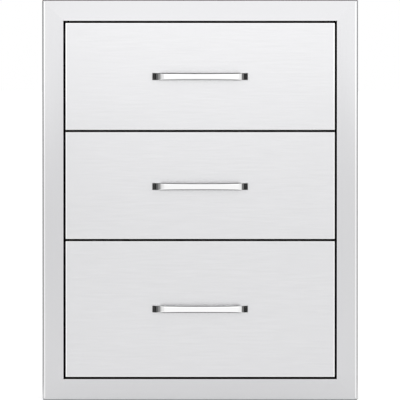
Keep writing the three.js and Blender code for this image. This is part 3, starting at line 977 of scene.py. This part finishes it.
def tray(drawer):
    """A floor and four walls, with a safety hem folded in along the rim."""
    node = f"{drawer}_drawer_tray"
    low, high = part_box(node)
    middle = TRAY_SHEET / 2
    height = high.z - low.z
    hem = -middle - TRAY_SHEET - HEM_GAP
    path = ((-middle, middle), (-middle, height - middle), (hem, height - middle), (hem, height - TRAY_HEM))
    box = folded_ring(high.x - low.x, high.y - low.y, path, plate=True)
    rim = height - middle
    corners = [edge for edge in creases(box) if any(v.co.z < rim - THIN for v in edge.verts)]
    corners = [edge for edge in corners if min(v.co.z for v in edge.verts) < TRAY_SHEET]
    round_off(box, corners, TRAY_BEND + middle)
    folds = [edge for edge in creases(box) if all(v.co.z > rim - THIN for v in edge.verts)]
    round_off(box, folds, (HEM_GAP + TRAY_SHEET) / 2 - THIN, steps=3)
    middles = (low + high) / 2
    box.transform(Matrix.Translation((middles.x, middles.y, low.z)))
    piece(f"{drawer}_tray_box", box, "tray_steel", f"{drawer}_drawer", [node], TRAY_SHEET)


def arch(shares, length, rise):
    """One edge of the handle in plan, from foot to foot, as a smooth line through the shares' points."""
    half = [Vector((across * length / 2, -up * rise, 0)) for across, up in shares]
    points = half + [Vector((-point.x, point.y, 0)) for point in reversed(half[:-1])]
    ends = [2 * points[0] - points[1]] + points + [2 * points[-1] - points[-2]]
    line = []
    for before, start, end, after in zip(ends, ends[1:], ends[2:], ends[3:]):
        for step in range(ARCH_STEPS):
            t = step / ARCH_STEPS
            line.append(0.5 * (
                2 * start + (end - before) * t + (2 * before - 5 * start + 4 * end - after) * t ** 2
                + (3 * start - before - 3 * end + after) * t ** 3
            ))
    return line + [points[-1]]


def handle(drawer):
    """A bar with well rounded edges, bent into an arch on two deep feet and drawn in at its waist."""
    node = f"{drawer}_handle"
    low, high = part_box(node)
    length, rise, height = high.x - low.x, high.y - low.y, high.z - low.z
    outer = arch(OUTER_SHARES, length, rise)
    inner = arch(INNER_SHARES, length - 2 * HANDLE_FOOT, rise - HANDLE_BAR)
    stations = len(outer) - 1
    shape = block((0, 0, -height / 2), (stations, HANDLE_BAR, height / 2))
    long_edges = [edge for edge in shape.edges if edge.verts[0].co.x != edge.verts[1].co.x]
    round_off(shape, long_edges, HANDLE_EDGE, HANDLE_EDGE_STEPS)
    long_edges = [edge for edge in shape.edges if edge.verts[0].co.x != edge.verts[1].co.x]
    bmesh.ops.subdivide_edges(shape, edges=long_edges, cuts=stations - 1, use_grid_fill=True)
    for vert in shape.verts:
        station, depth, up = vert.co
        front, back = outer[round(station)], inner[round(station)]
        footing = (abs(2 * front.x / length) - FOOT_START_SHARE) / (FOOT_END_SHARE - FOOT_START_SHARE)
        tighter = (1 - FOOT_EDGE_SHARE) * min(1, max(0, footing))
        depth += tighter * ((HANDLE_BAR if depth > HANDLE_BAR / 2 else 0) - depth)
        up += tighter * (math.copysign(height / 2, up) - up)
        inwards = (back - front).normalized()
        place = front + depth * inwards if depth < HANDLE_BAR / 2 else back - (HANDLE_BAR - depth) * inwards
        waist = 1 - WAIST_SHARE * (1 - (2 * place.x / length) ** 2)
        vert.co = place + Vector((0, 0, up * waist))
    bmesh.ops.recalc_face_normals(shape, faces=shape.faces[:])
    shape.transform(Matrix.Translation((0, high.y, (low.z + high.z) / 2)))
    piece(f"{drawer}_arched_handle", shape, "chrome", f"{drawer}_drawer", [node], edge=0)


def screw_mesh(length):
    """A pan-head screw along Z, its head's seat at z = 0 and its shank below, with a cross recess."""
    profile = [(0, SCREW_HEAD_HEIGHT)]
    for step in range(SCREW_DOME_STEPS - 1, -1, -1):
        turn = QUARTER * step / SCREW_DOME_STEPS
        up = SCREW_RIM_SHARE + (1 - SCREW_RIM_SHARE) * math.sin(turn)
        profile.append((SCREW_HEAD_RADIUS * math.cos(turn), SCREW_HEAD_HEIGHT * up))
    profile += [
        (SCREW_HEAD_RADIUS, 0),
        (SCREW_SHANK_RADIUS, 0),
        (SCREW_SHANK_RADIUS, -length + SCREW_SHANK_RADIUS),
        (SCREW_SHANK_RADIUS / 2, -length),
        (0, -length),
    ]
    arm_corners = ((RECESS_ARM, -RECESS_HALF), (RECESS_ARM, RECESS_HALF), (RECESS_HALF, RECESS_HALF))
    corners = []
    for quarter in range(4):
        turn = Matrix.Rotation(quarter * QUARTER, 3, "Z")
        corners += [turn @ Vector((x, y, RECESS_TOP)) for x, y in arm_corners]
    recess, tip = prism(corners, (0, 0, -RECESS_LENGTH))
    bmesh.ops.scale(recess, vec=(RECESS_TAPER, RECESS_TAPER, 1), verts=tip)
    return template(turned_shape(profile), "screw", cutter=recess)


def drawer_screws(drawer):
    """The handle's two screws, and the screws that hold the inner rails, from inside the tray."""
    body = f"{drawer}_drawer"
    for name in SIDES:
        node = f"{drawer}_handle_screw_{name}"
        low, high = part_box(node)
        middle = (low + high) / 2
        seat = high.y - SCREW_HEAD_HEIGHT
        place = Matrix.Translation((middle.x, seat, middle.z)) @ Matrix.Rotation(-QUARTER, 4, "X")
        shape = add_copy(bmesh.new(), screw_mesh(seat - low.y), place)
        piece(f"{drawer}_handle_{name}_bolt", shape, "screw_steel", body, [node], edge=0)
    shape = bmesh.new()
    rail_low, rail_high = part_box(f"{drawer}_slide_inner_rail_right")
    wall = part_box(f"{drawer}_drawer_tray")[1].x - TRAY_SHEET
    short = screw_mesh(RAIL_SCREW_LENGTH)
    for side in SIDES.values():
        turn = Matrix.Rotation(-side * QUARTER, 4, "Y") @ Matrix.Diagonal(RAIL_SCREW_SCALE)
        for share in RAIL_SCREW_SHARES:
            y = rail_low.y + share * (rail_high.y - rail_low.y)
            place = Matrix.Translation((side * wall, y, (rail_low.z + rail_high.z) / 2)) @ turn
            add_copy(shape, short, place)
    piece(f"{drawer}_rail_screws", shape, "screw_steel", body, edge=0)


# Studio

VIEW_ELEVATION = math.radians(1.6)
VIEW_DISTANCE = 12
VIEW_SHIFT = Vector((-0.2, 0, 0.05)) * MM
VIEW_REACH = 600
PHOTO_PIXELS = 400
FLANGE_PIXELS = 400.5
SENSOR = 36
FLOOR_SIZE = 60
FLOOR_TONE = 0.62
FLOOR_GLOW = 0.5
FLOOR_CAMERA_GLOW = 1.3
FLOOR_SHEEN = (0.1, 0.4)
FLOOR_MIRROR_LOSS = 0.85
SURROUND_STOPS = ((0, 0.7), (0.5, 0.85), (0.7, 1), (1, 1))
ZENITH_START = 0.7
ZENITH_LOSS = 0.15
POLE_GUARD = 0.0001
SOFTBOX_SIZE = (4.8, 2.6)
SOFTBOX_DISTANCE = 2.4
SOFTBOX_FOOT = 0.37
SOFTBOX_RADIANCE = 0.36
CARDS = {  # two corners, and what metal sees of the card from its front end to its rear end
    "left_card": (
        (-0.45, -1.6, -0.026), (-0.45, 0.1, 0.95),
        (
            (0, 0.88), (0.24, 0.77), (0.31, 0.61), (0.42, 0.4), (0.6, 0.24), (0.8, 0.26),
            (0.835, 0.36), (0.9, 0.18), (0.92, 0.09), (0.935, 0.05), (0.945, 0.008),
        ),
    ),
    "right_card": (
        (0.55, -1.6, -0.026), (0.55, 0.1, 0.95),
        (
            (0, 1), (0.3, 0.95), (0.45, 0.9), (0.55, 0.8), (0.72, 0.62),
            (0.84, 0.45), (0.895, 0.22), (0.922, 0.08), (0.945, 0.02),
        ),
    ),
    "upper_card": ((-0.5, -0.9, 1), (0.5, 0.05, 1), ((0, 1), (0.32, 0.02))),
}


def camera():
    """Square on, from so far away that nothing converges, and a little above the middle."""
    lens = bpy.data.cameras.new("photo_view")
    lens.sensor_width = SENSOR
    lens.lens = SENSOR * VIEW_DISTANCE / ((face_high.z - face_low.z) * PHOTO_PIXELS / FLANGE_PIXELS)
    lens.clip_end = VIEW_REACH
    obj = linked("photo_view", lens)
    back = Vector((0, -math.cos(VIEW_ELEVATION), math.sin(VIEW_ELEVATION)))
    obj.location = Vector((0, face_front, opening_middle)) + VIEW_SHIFT + VIEW_DISTANCE * back
    obj.rotation_euler = (-back).to_track_quat("-Z", "Y").to_euler()
    bpy.context.scene.camera = obj


def world():
    """White all round for the camera, and for polished metal a little dimmer behind the unit, at its sides
    and overhead."""
    made = bpy.data.worlds.new("studio")
    bpy.context.scene.world = made
    made.use_nodes = True
    nodes = Nodes(made.node_tree)
    x, y, z = nodes.axes(nodes.add("ShaderNodeTexCoord", output="Generated"))
    facing = 0.5 - 0.5 * y / (x * x + y * y + POLE_GUARD).root()
    around = nodes.add("ShaderNodeValToRGB", {"stops": SURROUND_STOPS}, {0: facing})
    seen = nodes.add("ShaderNodeLightPath", output="Is Camera Ray")
    level = seen + (1 - seen) * around * (1 - ZENITH_LOSS * nodes.ramp(z, ZENITH_START, 1))
    background = nodes.add("ShaderNodeBackground", inputs={"Color": level, "Strength": 1})
    nodes.add("ShaderNodeOutputWorld", inputs={"Surface": background})


def stage_sheet(name, low, high, shader_of):
    """A flat rectangle of the studio, lying in the one direction that its corners share."""
    shape = block(low, high)
    bmesh.ops.remove_doubles(shape, verts=shape.verts[:], dist=THIN)
    obj = linked(name, as_mesh(shape, name))
    made = Finish(name)
    made.add("ShaderNodeOutputMaterial", inputs={"Surface": shader_of(made)})
    obj.data.materials.append(made.material)
    return obj


def pale_shader(made):
    """Satin: in metal it shows white where it is seen at a flat angle, far off, and dark from above."""
    seen, mirrored = (
        made.add("ShaderNodeLightPath", output=f"Is {kind} Ray") for kind in ("Camera", "Glossy")
    )
    flat = made.add("ShaderNodeLayerWeight", inputs={"Blend": 0.5}, output="Facing")
    sheen = made.ramp(flat, *FLOOR_SHEEN)
    tone = FLOOR_TONE * (1 - FLOOR_MIRROR_LOSS * mirrored * (1 - sheen))
    glow = FLOOR_GLOW * (FLOOR_CAMERA_GLOW * seen + mirrored * sheen)
    diffuse = made.add("ShaderNodeBsdfDiffuse", inputs={"Color": tone})
    emission = made.add("ShaderNodeEmission", inputs={"Strength": glow})
    return made.add("ShaderNodeAddShader", inputs={0: diffuse, 1: emission})


def floor():
    """A pale floor that shows white where nothing shades it."""
    reach = FLOOR_SIZE / 2
    stage_sheet("floor", (-reach, -reach, face_low.z), (reach, reach, face_low.z), pale_shader)


def cards():
    """Cards beside and above the front that only metal sees, for its dark edges. They fade to white
    towards the camera."""
    for name, (low, high, stops) in CARDS.items():
        def shader_of(made):
            _, y, _ = made.axes(made.place())
            along = (y - low[1]) / (high[1] - low[1])
            level = made.add("ShaderNodeValToRGB", {"stops": stops}, {0: along})
            return made.add("ShaderNodeEmission", inputs={"Strength": level})
        card = stage_sheet(name, low, high, shader_of)
        card.visible_camera = False
        card.visible_diffuse = False
        card.visible_shadow = False


def softbox():
    """A broad light in front of the upper half, which fades down the steel."""
    width, height = SOFTBOX_SIZE
    lamp = bpy.data.lights.new("softbox", "AREA")
    lamp.shape = "RECTANGLE"
    lamp.size, lamp.size_y = SOFTBOX_SIZE
    lamp.energy = SOFTBOX_RADIANCE * math.pi * width * height
    obj = linked("softbox", lamp)
    obj.location = (0, -SOFTBOX_DISTANCE, SOFTBOX_FOOT + height / 2)
    obj.rotation_euler = (QUARTER, 0, 0)
    obj.visible_camera = False


camera()
world()
floor()
cards()
softbox()
face_frame()
for side_name, side_sign in SIDES.items():
    side_wall(side_name, side_sign)
level_wall("cabinet_floor", "bottom_panel", 1)
level_wall("cabinet_roof", "top_panel", -1)
rear_wall()
cabinet_rivets()
slides()
for drawer_name in DRAWERS:
    front_pan(drawer_name)
    liner(drawer_name)
    tray(drawer_name)
    handle(drawer_name)
    drawer_screws(drawer_name)

bpy.context.scene.view_settings.view_transform = "Standard"
